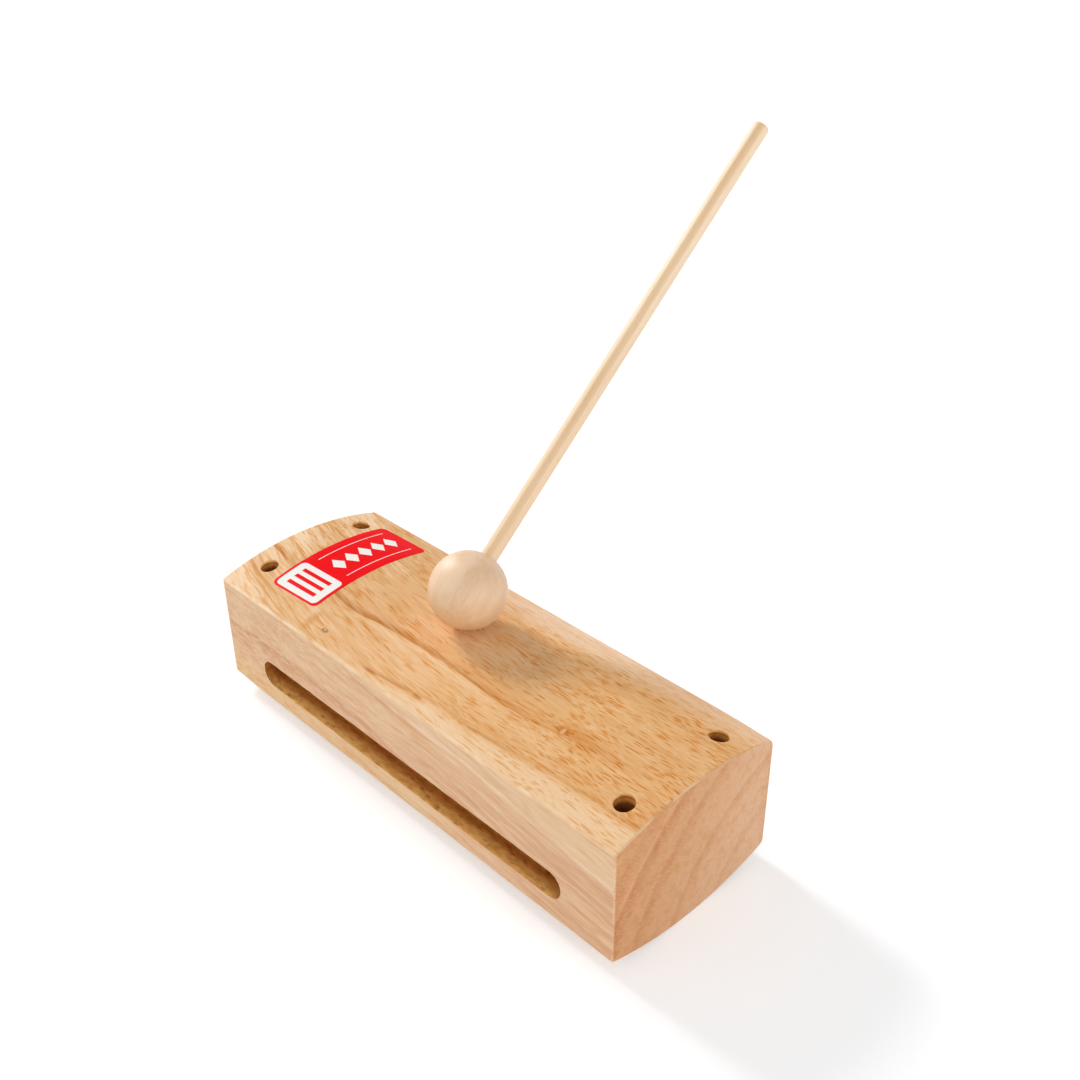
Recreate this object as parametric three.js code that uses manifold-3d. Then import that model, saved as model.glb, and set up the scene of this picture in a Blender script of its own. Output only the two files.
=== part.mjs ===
// A wood block for percussion with its beater resting on it.
// One piece of hardwood, crowned above and below, with a resonance slot cut deep into each long side
// and four cord holes drilled through it. A printed label lies across the top, near the left end.
// The beater is a turned ball glued on a dowel, held leaning back, with its ball on the block's top.
// Millimetres and degrees. +X runs to the right along the block, +Y to its back and +Z up.

import * as THREE from 'three';
import { mergeVertices } from 'three/addons/utils/BufferGeometryUtils.js';
import Module from 'manifold-3d';

const wasm = await Module();
wasm.setup();

// Block of wood
const blockLength = 200;
const blockWidth = 71.6;
const sideHeight = 42.8;
const crownRise = 5.9;
const arrisRadius = 1.5;
const endEasing = 0.8;

// Resonance slots, the front one below the middle and the back one above it
const slotLength = 156.5;
const slotHeight = 10.6;
const slotDepth = 50;
const slotOffset = 8.6;

// Cord holes
const cordHoleDiameter = 6.8;
const cordHoleEndInset = 10.3;
const cordHoleSideInset = 14.6;

// Label
const labelWidth = 25.2;
const labelLength = 53.8;
const labelCentreInset = 30.1;
const labelCentreY = 1.1;
const labelTurn = 2.7;
const labelCornerRadius = 2.5;
const labelThickness = 0.25;
const glueGap = 0.1;

// Beater
const ballDiameter = 27.2;
const dowelDiameter = 6;
const dowelLength = 187;
const dowelEasing = 0.9;
const socketDepth = 10.2;
const socketClearance = 0.3;

// Where the beater rests: the ball's centre over the block, and the way the dowel points
const ballRestX = -6.7;
const ballRestY = 4.6;
const restGap = 0.3;
const dowelRise = 43.3;
const dowelBearing = 88.5;

// How far each cut runs past the face that it opens in
const overrun = 2;

// Facets, counted in steps. The crown's count is odd, so that its middle facet is level.
const crownSteps = 19;
const arrisSteps = 3;
const easingSteps = 2;
const holeSteps = 28;
const slotEndSteps = 12;
const labelSteps = 19;
const labelCornerSteps = 5;
const ballTurnSteps = 40;
const ballSteps = 20;
const dowelTurnSteps = 48;
const dowelEndSteps = 4;

const ballRadius = ballDiameter / 2;
const dowelRadius = dowelDiameter / 2;
const blockHeight = sideHeight + 2 * crownRise;
const crownRadius = (blockWidth ** 2 / 4 + crownRise ** 2) / (2 * crownRise);

// Height of the crowned top above the block's middle, at a distance y from its centre line
function crownHeight(y) {
  return blockHeight / 2 - crownRadius + Math.sqrt(crownRadius ** 2 - y ** 2);
}

// Points of an arc in a profile's plane, with both ends
function arcPoints(centreX, centreY, radius, startAngle, endAngle, steps) {
  const points = [];
  for (let step = 0; step <= steps; step += 1) {
    const angle = startAngle + ((endAngle - startAngle) * step) / steps;
    const x = centreX + radius * Math.cos(angle);
    const y = centreY + radius * Math.sin(angle);
    points.push(new THREE.Vector2(x, y));
  }
  return points;
}

// A closed solid from a geometry, ready to be cut
function solidFrom(geometry) {
  const bare = geometry.clone();
  bare.deleteAttribute('normal');
  bare.deleteAttribute('uv');
  const merged = mergeVertices(bare);
  const mesh = new wasm.Mesh({
    numProp: 3,
    vertProperties: new Float32Array(merged.attributes.position.array),
    triVerts: new Uint32Array(merged.index.array),
  });
  return new wasm.Manifold(mesh);
}

// The geometry of a cut solid, shaded by its facets
function geometryFrom(solid) {
  const mesh = solid.getMesh();
  const geometry = new THREE.BufferGeometry();
  geometry.setAttribute('position', new THREE.BufferAttribute(mesh.vertProperties, 3));
  geometry.setIndex(new THREE.BufferAttribute(mesh.triVerts, 1));
  const flat = geometry.toNonIndexed();
  flat.computeVertexNormals();
  return flat;
}

// Turns an extrusion made in the X-Y plane so that its outline lies in the Y-Z plane
// and its depth runs along X
function layAlongX(geometry) {
  const outlineX = new THREE.Vector3(0, 1, 0);
  const outlineY = new THREE.Vector3(0, 0, 1);
  const depth = new THREE.Vector3(1, 0, 0);
  return geometry.applyMatrix4(new THREE.Matrix4().makeBasis(outlineX, outlineY, depth));
}

// Cross-section of the block: flat sides, crowned top and bottom, and arrises eased by hand sanding.
// Each arris is an arc that leaves the flat side and meets the crown without a corner.
function blockSection(easing) {
  const crownCentre = blockHeight / 2 - crownRadius;
  const arcRadius = crownRadius - easing;
  const sideY = blockWidth / 2 - easing;
  const arrisCentreY = sideY - arrisRadius;
  const reach = arcRadius - arrisRadius;
  const arrisCentreZ = crownCentre + Math.sqrt(reach ** 2 - arrisCentreY ** 2);
  const meetAngle = Math.atan2(arrisCentreZ - crownCentre, arrisCentreY);
  const quarter = arcPoints(arrisCentreY, arrisCentreZ, arrisRadius, 0, meetAngle, arrisSteps);
  const crown = arcPoints(0, crownCentre, arcRadius, meetAngle, Math.PI - meetAngle, crownSteps);
  const farQuarter = quarter.map((point) => new THREE.Vector2(-point.x, point.y)).reverse();
  const upper = [...quarter, ...crown.slice(1, -1), ...farQuarter];
  const lower = upper.map((point) => new THREE.Vector2(-point.x, -point.y));
  return [...upper, ...lower];
}

// One tapering length of the block between two sections that have the same number of points
function sectionLoft(stations) {
  const count = stations[0].section.length;
  const positions = [];
  const indices = [];
  stations.forEach(({ x, section }) => {
    section.forEach((point) => positions.push(x, point.x, point.y));
  });
  for (let ring = 0; ring + 1 < stations.length; ring += 1) {
    for (let step = 0; step < count; step += 1) {
      const here = ring * count + step;
      const beside = ring * count + ((step + 1) % count);
      indices.push(here, beside, here + count);
      indices.push(beside, beside + count, here + count);
    }
  }
  const last = (stations.length - 1) * count;
  THREE.ShapeUtils.triangulateShape(stations[0].section, []).forEach(([a, b, c]) => {
    indices.push(a, c, b);
    indices.push(last + a, last + b, last + c);
  });
  const geometry = new THREE.BufferGeometry();
  geometry.setAttribute('position', new THREE.Float32BufferAttribute(positions, 3));
  geometry.setIndex(indices);
  return geometry;
}

// The whole block before it is cut, with the edges round both end faces sanded round
function blockBlank() {
  const rightEnd = [];
  for (let step = 0; step <= easingSteps; step += 1) {
    const angle = ((Math.PI / 2) * step) / easingSteps;
    const x = blockLength / 2 - endEasing * (1 - Math.sin(angle));
    const section = blockSection(endEasing * (1 - Math.cos(angle)));
    rightEnd.push({ x, section });
  }
  const leftEnd = rightEnd.map(({ x, section }) => ({ x: -x, section })).reverse();
  return sectionLoft([...leftEnd, ...rightEnd]);
}

// A round-ended slot that opens in the long side that faces along side (-1 front, 1 back)
function slotCutter(side) {
  const radius = slotHeight / 2;
  const halfRun = slotLength / 2 - radius;
  const right = arcPoints(halfRun, 0, radius, -Math.PI / 2, Math.PI / 2, slotEndSteps);
  const left = arcPoints(-halfRun, 0, radius, Math.PI / 2, (3 * Math.PI) / 2, slotEndSteps);
  const outline = new THREE.Shape([...right, ...left]);
  const depth = slotDepth + overrun;
  const geometry = new THREE.ExtrudeGeometry(outline, { depth, bevelEnabled: false });
  geometry.translate(0, 0, -depth / 2);
  geometry.rotateX(Math.PI / 2);
  const middleY = side * (blockWidth / 2 + overrun - depth / 2);
  geometry.translate(0, middleY, side * slotOffset);
  return geometry;
}

// A cord hole drilled straight down through the block
function cordHoleCutter(x, y) {
  const radius = cordHoleDiameter / 2;
  const depth = blockHeight + 2 * overrun;
  const geometry = new THREE.CylinderGeometry(radius, radius, depth, holeSteps);
  geometry.rotateX(Math.PI / 2);
  geometry.translate(x, y, 0);
  return geometry;
}

function blockGeometry() {
  let solid = solidFrom(blockBlank());
  [-1, 1].forEach((side) => {
    solid = solid.subtract(solidFrom(slotCutter(side)));
  });
  const holeX = blockLength / 2 - cordHoleEndInset;
  const holeY = blockWidth / 2 - cordHoleSideInset;
  [-1, 1].forEach((end) => {
    [-1, 1].forEach((side) => {
      solid = solid.subtract(solidFrom(cordHoleCutter(end * holeX, side * holeY)));
    });
  });
  return geometryFrom(solid);
}

// A strip that follows the crown across the block, as thick as the label
function labelStrip() {
  const reach = Math.hypot(labelWidth, labelLength);
  const under = [];
  const over = [];
  for (let step = 0; step <= labelSteps; step += 1) {
    const y = labelCentreY - reach / 2 + (reach * step) / labelSteps;
    const z = crownHeight(y) + glueGap;
    under.push(new THREE.Vector2(y, z));
    over.push(new THREE.Vector2(y, z + labelThickness));
  }
  const outline = new THREE.Shape([...under, ...over.reverse()]);
  const geometry = new THREE.ExtrudeGeometry(outline, { depth: reach, bevelEnabled: false });
  layAlongX(geometry);
  return geometry.translate(labelCentreInset - blockLength / 2 - reach / 2, 0, 0);
}

// A label seen from above: a rectangle with rounded corners, wound anticlockwise
function labelOutline() {
  const cornerX = labelWidth / 2 - labelCornerRadius;
  const cornerY = labelLength / 2 - labelCornerRadius;
  const quarterTurn = Math.PI / 2;
  const corners = [[1, -1], [1, 1], [-1, 1], [-1, -1]];
  const points = corners.flatMap(([x, y], index) => {
    const start = (index - 1) * quarterTurn;
    const end = start + quarterTurn;
    return arcPoints(x * cornerX, y * cornerY, labelCornerRadius, start, end, labelCornerSteps);
  });
  return new THREE.Shape(points);
}

function labelGeometry() {
  const depth = blockHeight;
  const punch = new THREE.ExtrudeGeometry(labelOutline(), { depth, bevelEnabled: false });
  punch.rotateZ(THREE.MathUtils.degToRad(labelTurn));
  punch.translate(labelCentreInset - blockLength / 2, labelCentreY, 0);
  return geometryFrom(solidFrom(labelStrip()).intersect(solidFrom(punch)));
}

// The ball turned about the dowel's axis, which is +Z here, with its centre at the origin.
// Its socket is drilled from above, square to the surface.
function ballGeometry() {
  const socketRadius = dowelRadius + socketClearance;
  const rimAngle = Math.asin(socketRadius / ballRadius);
  const socketFloor = ballRadius - socketDepth;
  const rim = Math.PI / 2 - rimAngle;
  const profile = [
    ...arcPoints(0, 0, ballRadius, -Math.PI / 2, rim, ballSteps),
    new THREE.Vector2(socketRadius, socketFloor),
    new THREE.Vector2(0, socketFloor),
  ];
  return new THREE.LatheGeometry(profile, ballTurnSteps).rotateX(Math.PI / 2);
}

// The dowel on the same axis: its lower end stands on the socket's floor, both ends are eased
function dowelGeometry() {
  const foot = ballRadius - socketDepth + socketClearance;
  const tip = foot + dowelLength;
  const easedRadius = dowelRadius - dowelEasing;
  const footArc = arcPoints(easedRadius, foot + dowelEasing, dowelEasing, -Math.PI / 2, 0, dowelEndSteps);
  const tipArc = arcPoints(easedRadius, tip - dowelEasing, dowelEasing, 0, Math.PI / 2, dowelEndSteps);
  const profile = [new THREE.Vector2(0, foot), ...footArc, ...tipArc, new THREE.Vector2(0, tip)];
  return new THREE.LatheGeometry(profile, dowelTurnSteps).rotateX(Math.PI / 2);
}

function piece(name, geometry, color, roughness) {
  const material = new THREE.MeshStandardMaterial({ color, roughness, metalness: 0 });
  const mesh = new THREE.Mesh(geometry, material);
  mesh.name = name;
  return mesh;
}

// The beater, with its ball just clear of the crowned top and its dowel leaning back over the far side
function beater() {
  const group = new THREE.Group();
  group.add(piece('beater_head', ballGeometry(), '#dcb98c', 0.5));
  group.add(piece('beater_handle', dowelGeometry(), '#e6c99b', 0.55));
  const reach = crownRadius + restGap + ballRadius;
  const crownCentre = blockHeight / 2 - crownRadius;
  const ballZ = crownCentre + Math.sqrt(reach ** 2 - ballRestY ** 2);
  group.position.set(ballRestX, ballRestY, ballZ);
  group.rotation.order = 'ZYX';
  group.rotation.y = THREE.MathUtils.degToRad(90 - dowelRise);
  group.rotation.z = THREE.MathUtils.degToRad(dowelBearing);
  return group;
}

// Everything stands on z = 0 with the origin under the middle of its outer box
function woodBlockWithBeater() {
  const group = new THREE.Group();
  group.add(piece('block', blockGeometry(), '#d8a873', 0.55));
  group.add(piece('label', labelGeometry(), '#d8202a', 0.35));
  group.add(beater());
  const box = new THREE.Box3().setFromObject(group, true);
  const centre = box.getCenter(new THREE.Vector3());
  group.position.set(-centre.x, -centre.y, -box.min.z);
  group.updateMatrixWorld(true);
  return group;
}

export default woodBlockWithBeater();
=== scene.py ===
import math

import bmesh
import bpy
from mathutils import Matrix, Vector, noise
from mathutils.geometry import delaunay_2d_cdt


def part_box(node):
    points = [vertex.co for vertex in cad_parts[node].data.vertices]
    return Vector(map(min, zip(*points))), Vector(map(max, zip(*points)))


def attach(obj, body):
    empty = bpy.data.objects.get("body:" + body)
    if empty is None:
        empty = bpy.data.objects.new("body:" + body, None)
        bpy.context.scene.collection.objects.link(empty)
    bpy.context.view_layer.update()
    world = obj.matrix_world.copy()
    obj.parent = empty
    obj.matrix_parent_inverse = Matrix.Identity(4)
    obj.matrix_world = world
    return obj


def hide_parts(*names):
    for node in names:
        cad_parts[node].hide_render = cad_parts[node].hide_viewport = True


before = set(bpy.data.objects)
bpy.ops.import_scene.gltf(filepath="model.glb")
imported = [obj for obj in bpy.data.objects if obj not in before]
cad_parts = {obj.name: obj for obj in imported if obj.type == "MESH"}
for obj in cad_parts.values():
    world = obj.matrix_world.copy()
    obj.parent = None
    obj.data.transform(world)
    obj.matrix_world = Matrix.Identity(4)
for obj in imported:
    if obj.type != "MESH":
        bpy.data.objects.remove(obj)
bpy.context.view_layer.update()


# BLOCK: one billet of rubberwood, planed, with its top and bottom crowned and its arrises sanded by hand.
# A router cuts a deep round-ended slot into each long side, and four cord holes are drilled through.
# Sizes are in millimetres round the billet's middle: x along the grain, y to the back and z up.
MM = 0.001
block_low, block_high = (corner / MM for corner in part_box("block"))
BLOCK_MIDDLE = (block_low + block_high) / 2
LENGTH, WIDTH, HEIGHT = block_high - block_low
SIDE_HEIGHT = 42.8
CROWN_RISE = (HEIGHT - SIDE_HEIGHT) / 2
CROWN_RADIUS = (WIDTH ** 2 / 4 + CROWN_RISE ** 2) / (2 * CROWN_RISE)
CROWN_CENTRE = HEIGHT / 2 - CROWN_RADIUS
END_EASING = {-1: 0.9, 1: 0.7}
ARRIS_RADIUS = 1.35
ARRIS_WANDER = 0.25
# Where each arris is sanded rounder: the place along it, how far that reaches, and by how much.
ARRIS_WEAR = {
    (-1, 1): (-10, 45, 0.5), (-1, -1): (-LENGTH / 2, 9, 1.2),
    (1, 1): (LENGTH / 2, 9, 1.9), (1, -1): (LENGTH / 2, 9, 1.1),
}
END_STEPS = 4
CROWN_STEPS = 22
SIDE_STEPS = 10
ARRIS_STEPS = 5
STATION_GAP = 4
SHEET_GAP = 4.5
CROWN_MARGIN = 1.6
FLAT_MARGIN = 2
MOUTH_MARGIN = 1
HOLE_MARGIN = 0.6

SLOT_LENGTH = 156.5
SLOT_HEIGHT = 10.6
SLOT_DEPTH = 50
SLOT_OFFSET = 8.6
SLOT_LIP = 0.28
SLOT_TEAR = 0.9
SLOT_WAVER = 0.16
SLOT_WAVER_DEPTH = 2.5
# The depth over which the slot walls turn bare and darken with painted shade.
SLOT_BARE_AND_SHADE_DEPTH = 14
SLOT_POINT_GAP = 2.2
SLOT_LIP_STEPS = 4
SLOT_TURN_STEPS = 16
SLOT_WALL_DEPTHS = (1.5, 3.5, 7, 12, 20, 34, SLOT_DEPTH)

CORD_HOLE_RADIUS = 3.4
CORD_HOLE_END_INSET = 10.3
CORD_HOLE_SIDE_INSET = 14.6
CORD_HOLE_RIM = 0.25
# The depth over which the hole walls turn bare and darken with painted shade.
CORD_HOLE_BARE_AND_SHADE_DEPTH = 2.6
CORD_HOLE_RIM_STEPS = 3
CORD_HOLE_STEPS = 36
CORD_HOLE_DEPTHS = (0.8, 2, 4, 7, 12)

PITH = (0, 58, -51)
RING_GAP = 17.5
STREAK_RADIUS = 106
PALE_RING_RADIUS = 105.6
FINE_LINE_RADIUS = 115.8


class Skin:
    """The surface of one piece: corners in millimetres, the marks its finish reads, and its faces."""

    def __init__(self):
        self.numbers = {}
        self.places = []
        self.marks = []
        self.faces = []

    def corner(self, place, grain, **marks):
        """The number of the corner at a place, made the first time that the place is used."""
        key = tuple(round(value, 4) for value in place)
        if key not in self.numbers:
            self.numbers[key] = len(self.places)
            self.places.append(Vector(place))
            self.marks.append({"grain": Vector(grain), **marks})
        return self.numbers[key]

    def face(self, corners):
        """A face through its corners, left out where the corners meet in a line or a point."""
        kept = [corner for index, corner in enumerate(corners) if corner != corners[index - 1]]
        if len(set(kept)) > 2:
            self.faces.append(kept)

    def bridge(self, near, far):
        """A strip of faces between two lines of corners of the same count."""
        for index in range(len(near) - 1):
            self.face([near[index], near[index + 1], far[index + 1], far[index]])

    def bridge_loops(self, loops):
        """Strips between closed loops of corners, one after the other."""
        for near, far in zip(loops, loops[1:]):
            self.bridge(near + near[:1], far + far[:1])

    def fill(self, rim, openings, inner, axes):
        """Triangles inside a rim and outside its openings, seen flat along the two axes named."""

        def flat(corner):
            return Vector([self.places[corner][axis] for axis in axes])

        corners = list(rim) + [corner for opening in openings for corner in opening] + list(inner)
        edges = []
        start = 0
        for loop in (rim, *openings):
            count = len(loop)
            edges += [(start + step, start + (step + 1) % count) for step in range(count)]
            start += count
        points = [flat(corner) for corner in corners]
        _, _, triangles, origins, _, _ = delaunay_2d_cdt(points, edges, [], 0, 1e-6)
        outlines = [[flat(corner) for corner in loop] for loop in (rim, *openings)]
        for triangle in triangles:
            used = [corners[origins[point][0]] for point in triangle]
            middle = sum((flat(corner) for corner in used), Vector((0, 0))) / 3
            inside = [surrounds(outline, middle) for outline in outlines]
            if inside[0] and not any(inside[1:]):
                self.face(used)

    def piece(self, name, middle):
        """A smooth Blender object of the skin, its object at the origin and its place in its mesh."""
        mesh = bpy.data.meshes.new(name)
        mesh.from_pydata([(middle + place) * MM for place in self.places], [], self.faces)
        for mark in self.marks[0]:
            kind, holder = ("FLOAT_VECTOR", "vector") if mark == "grain" else ("FLOAT", "value")
            attribute = mesh.attributes.new(mark, kind, "POINT")
            for entry, marks in zip(attribute.data, self.marks):
                setattr(entry, holder, marks[mark])
        shaped = bmesh.new()
        shaped.from_mesh(mesh)
        bmesh.ops.recalc_face_normals(shaped, faces=shaped.faces)
        for face in shaped.faces:
            face.smooth = True
        shaped.to_mesh(mesh)
        shaped.free()
        piece = put(name, mesh)
        even = piece.modifiers.new("even_shading", "WEIGHTED_NORMAL")
        even.weight = 60
        return piece


def put(name, data):
    """A new object in the scene, at its origin."""
    made = bpy.data.objects.new(name, data)
    bpy.context.collection.objects.link(made)
    return made


def surrounds(outline, point):
    """Whether a closed outline goes round a point."""
    inside = False
    for start, end in zip(outline, outline[1:] + outline[:1]):
        if (start.y > point.y) != (end.y > point.y):
            crossing = start.x + (point.y - start.y) * (end.x - start.x) / (end.y - start.y)
            if point.x < crossing:
                inside = not inside
    return inside


def crown_height(y):
    """Height of the crowned top above the billet's middle."""
    return CROWN_CENTRE + math.sqrt(CROWN_RADIUS ** 2 - y ** 2)


def arris_radius(x, side, level):
    """How far hand sanding has rounded an arris at x, a little unevenly."""
    wander = noise.noise(Vector((x / 40, side * 3, level * 5)))
    middle, reach, extra = ARRIS_WEAR[side, level]
    return ARRIS_RADIUS + ARRIS_WANDER * wander + extra * math.exp(-((x - middle) / reach) ** 2)


def arris(x, side, level):
    """One arris in section, from side to crown: places, ways out, and shares of side face and of edge."""
    radius = arris_radius(x, side, level)
    centre_y = WIDTH / 2 - radius
    centre_z = CROWN_CENTRE + math.sqrt((CROWN_RADIUS - radius) ** 2 - centre_y ** 2)
    meeting = math.atan2(centre_z - CROWN_CENTRE, centre_y)
    points = []
    for step in range(ARRIS_STEPS + 1):
        share = step / ARRIS_STEPS
        out = Vector((side * math.cos(meeting * share), level * math.sin(meeting * share)))
        middle = Vector((side * centre_y, level * centre_z))
        points.append((middle + radius * out, out, 1 - share, math.sin(math.pi * share)))
    return points


def crown(front, back, level):
    """The crown in section between the arrises at its front and back."""
    start = math.asin(front.x / CROWN_RADIUS)
    end = math.asin(back.x / CROWN_RADIUS)
    points = []
    for step in range(CROWN_STEPS + 1):
        angle = start + (end - start) * step / CROWN_STEPS
        out = Vector((math.sin(angle), level * math.cos(angle)))
        middle = Vector((0, level * CROWN_CENTRE))
        points.append((middle + CROWN_RADIUS * out, out, 0, 0))
    return points


def flat_side(upper, lower, side):
    """The flat long side in section, between its arrises and without them."""
    out = Vector((side, 0))
    return [(upper.lerp(lower, step / SIDE_STEPS), out, 1, 0) for step in range(1, SIDE_STEPS)]


def section(x):
    """The billet's closed section at x: top, back, bottom and front in turn."""
    corners = {(side, level): arris(x, side, level) for side in (-1, 1) for level in (-1, 1)}
    top = crown(corners[-1, 1][-1][0], corners[1, 1][-1][0], 1)
    bottom = crown(corners[-1, -1][-1][0], corners[1, -1][-1][0], -1)
    back = flat_side(corners[1, 1][0][0], corners[1, -1][0][0], 1)
    front = flat_side(corners[-1, -1][0][0], corners[-1, 1][0][0], -1)
    return [
        *top, *corners[1, 1][-2::-1], *back, *corners[1, -1][:-1],
        *bottom[::-1], *corners[-1, -1][-2::-1], *front, *corners[-1, 1][:-1],
    ]


TOP_BACK = CROWN_STEPS
BACK_UPPER = TOP_BACK + ARRIS_STEPS
BACK_LOWER = BACK_UPPER + SIDE_STEPS
BOTTOM_BACK = BACK_LOWER + ARRIS_STEPS
BOTTOM_FRONT = BOTTOM_BACK + CROWN_STEPS
FRONT_LOWER = BOTTOM_FRONT + ARRIS_STEPS
FRONT_UPPER = FRONT_LOWER + SIDE_STEPS


def billet_loop(skin, section_x, x, inset=0, end=0):
    """The corners round the billet at x, with the section of a place beside it drawn in by an inset."""
    loop = []
    for point, out, side, edge in section(section_x):
        y, z = point - inset * out
        # The edge mark carries sanding wear and a painted highlight along the arrises and the eased ends.
        wear_and_highlight = max(edge * (1 - end), math.sin(math.pi * end))
        loop.append(skin.corner((x, y, z), (x, y, z), side_face=side, end_grain=end, inside=0, edge=wear_and_highlight))
    return loop


def surface_corner(skin, x, y, z, side_face=0, end_grain=0, inside=0, edge=0):
    """A corner of the block anywhere off its arrises."""
    place = (x, y, z)
    return skin.corner(place, place, side_face=side_face, end_grain=end_grain, inside=inside, edge=edge)


def cord_hole(skin, x, y):
    """A drilled hole with a barely eased rim. Returns the loops where it meets the top and the bottom."""
    angles = [2 * math.pi * step / CORD_HOLE_STEPS for step in range(CORD_HOLE_STEPS)]

    def ring(radius, depth, level, inside):
        corners = []
        for angle in angles:
            around_x = x + radius * math.cos(angle)
            around_y = y + radius * math.sin(angle)
            height = level * (crown_height(around_y) - depth)
            edge = 0.5 if 0 < depth < CORD_HOLE_RIM else 0
            corners.append(surface_corner(skin, around_x, around_y, height, 0, 0, inside, edge))
        return corners

    halves = []
    for level in (1, -1):
        loops = []
        for step in range(CORD_HOLE_RIM_STEPS + 1):
            turn = step * math.pi / 2 / CORD_HOLE_RIM_STEPS
            radius = CORD_HOLE_RADIUS + CORD_HOLE_RIM * (1 - math.sin(turn))
            depth = CORD_HOLE_RIM * (1 - math.cos(turn))
            loops.append(ring(radius, depth, level, step / 12))
        for depth in CORD_HOLE_DEPTHS:
            inside = min(2, 0.3 + depth / CORD_HOLE_BARE_AND_SHADE_DEPTH)
            loops.append(ring(CORD_HOLE_RADIUS, depth, level, inside))
        halves.append(loops)
    skin.bridge_loops(halves[0] + halves[1][::-1])
    return halves[0][0], halves[1][0]


def slot_outline():
    """Points round the slot seen from its mouth, each with its way out into the wood."""
    radius = SLOT_HEIGHT / 2
    half_run = SLOT_LENGTH / 2 - radius
    run_steps = round(2 * half_run / SLOT_POINT_GAP)
    points = []
    for way in (1, -1):
        for step in range(run_steps):
            x = way * (-half_run + 2 * half_run * step / run_steps)
            points.append((Vector((x, -way * radius)), Vector((0, -way))))
        for step in range(SLOT_TURN_STEPS):
            angle = -math.pi / 2 + math.pi * step / SLOT_TURN_STEPS
            out = way * Vector((math.cos(angle), math.sin(angle)))
            points.append((Vector((way * half_run, 0)) + radius * out, out))
    return points


def slot(skin, side):
    """A routed slot in one long side, with the small tear-outs that the cutter leaves along its lips."""
    middle_z = side * SLOT_OFFSET
    outline = slot_outline()

    def lip(point):
        torn = noise.noise(Vector((point.x / 2.3, point.y, side * 9)))
        return SLOT_LIP + SLOT_TEAR * max(0, torn - 0.3)

    def waver(point, depth):
        fade = math.exp(-depth / SLOT_WAVER_DEPTH)
        return SLOT_WAVER * fade * noise.noise(Vector((point.x / 5, point.y, side * 4)))

    def loop(grow, sink, depth, inside, edge):
        corners = []
        for point, out in outline:
            deep = depth + sink * lip(point)
            x, z = point + (grow * lip(point) + waver(point, deep)) * out
            y = side * (WIDTH / 2 - deep)
            # The share of end grain on the slot's round ends, which the finish darkens as end grain and as
            # painted shade.
            end_grain_and_shade = abs(out.x) * min(1, 3 * inside)
            corners.append(surface_corner(skin, x, y, middle_z + z, 1, end_grain_and_shade, inside, edge))
        return corners

    loops = []
    for step in range(SLOT_LIP_STEPS + 1):
        turn = step * math.pi / 2 / SLOT_LIP_STEPS
        edge = 0.7 * math.sin(2 * turn)
        loops.append(loop(1 - math.sin(turn), 1 - math.cos(turn), 0, step / 12, edge))
    for depth in SLOT_WALL_DEPTHS:
        loops.append(loop(0, 0, depth, min(1, 0.4 + depth / SLOT_BARE_AND_SHADE_DEPTH), 0))
    skin.bridge_loops(loops)
    skin.fill(loops[-1], [], [], (0, 2))
    return loops[0]


def spread(start, end, gap):
    """Evenly spaced values strictly between a start and an end."""
    steps = max(2, round((end - start) / gap))
    return [start + (end - start) * step / steps for step in range(1, steps)]


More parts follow.
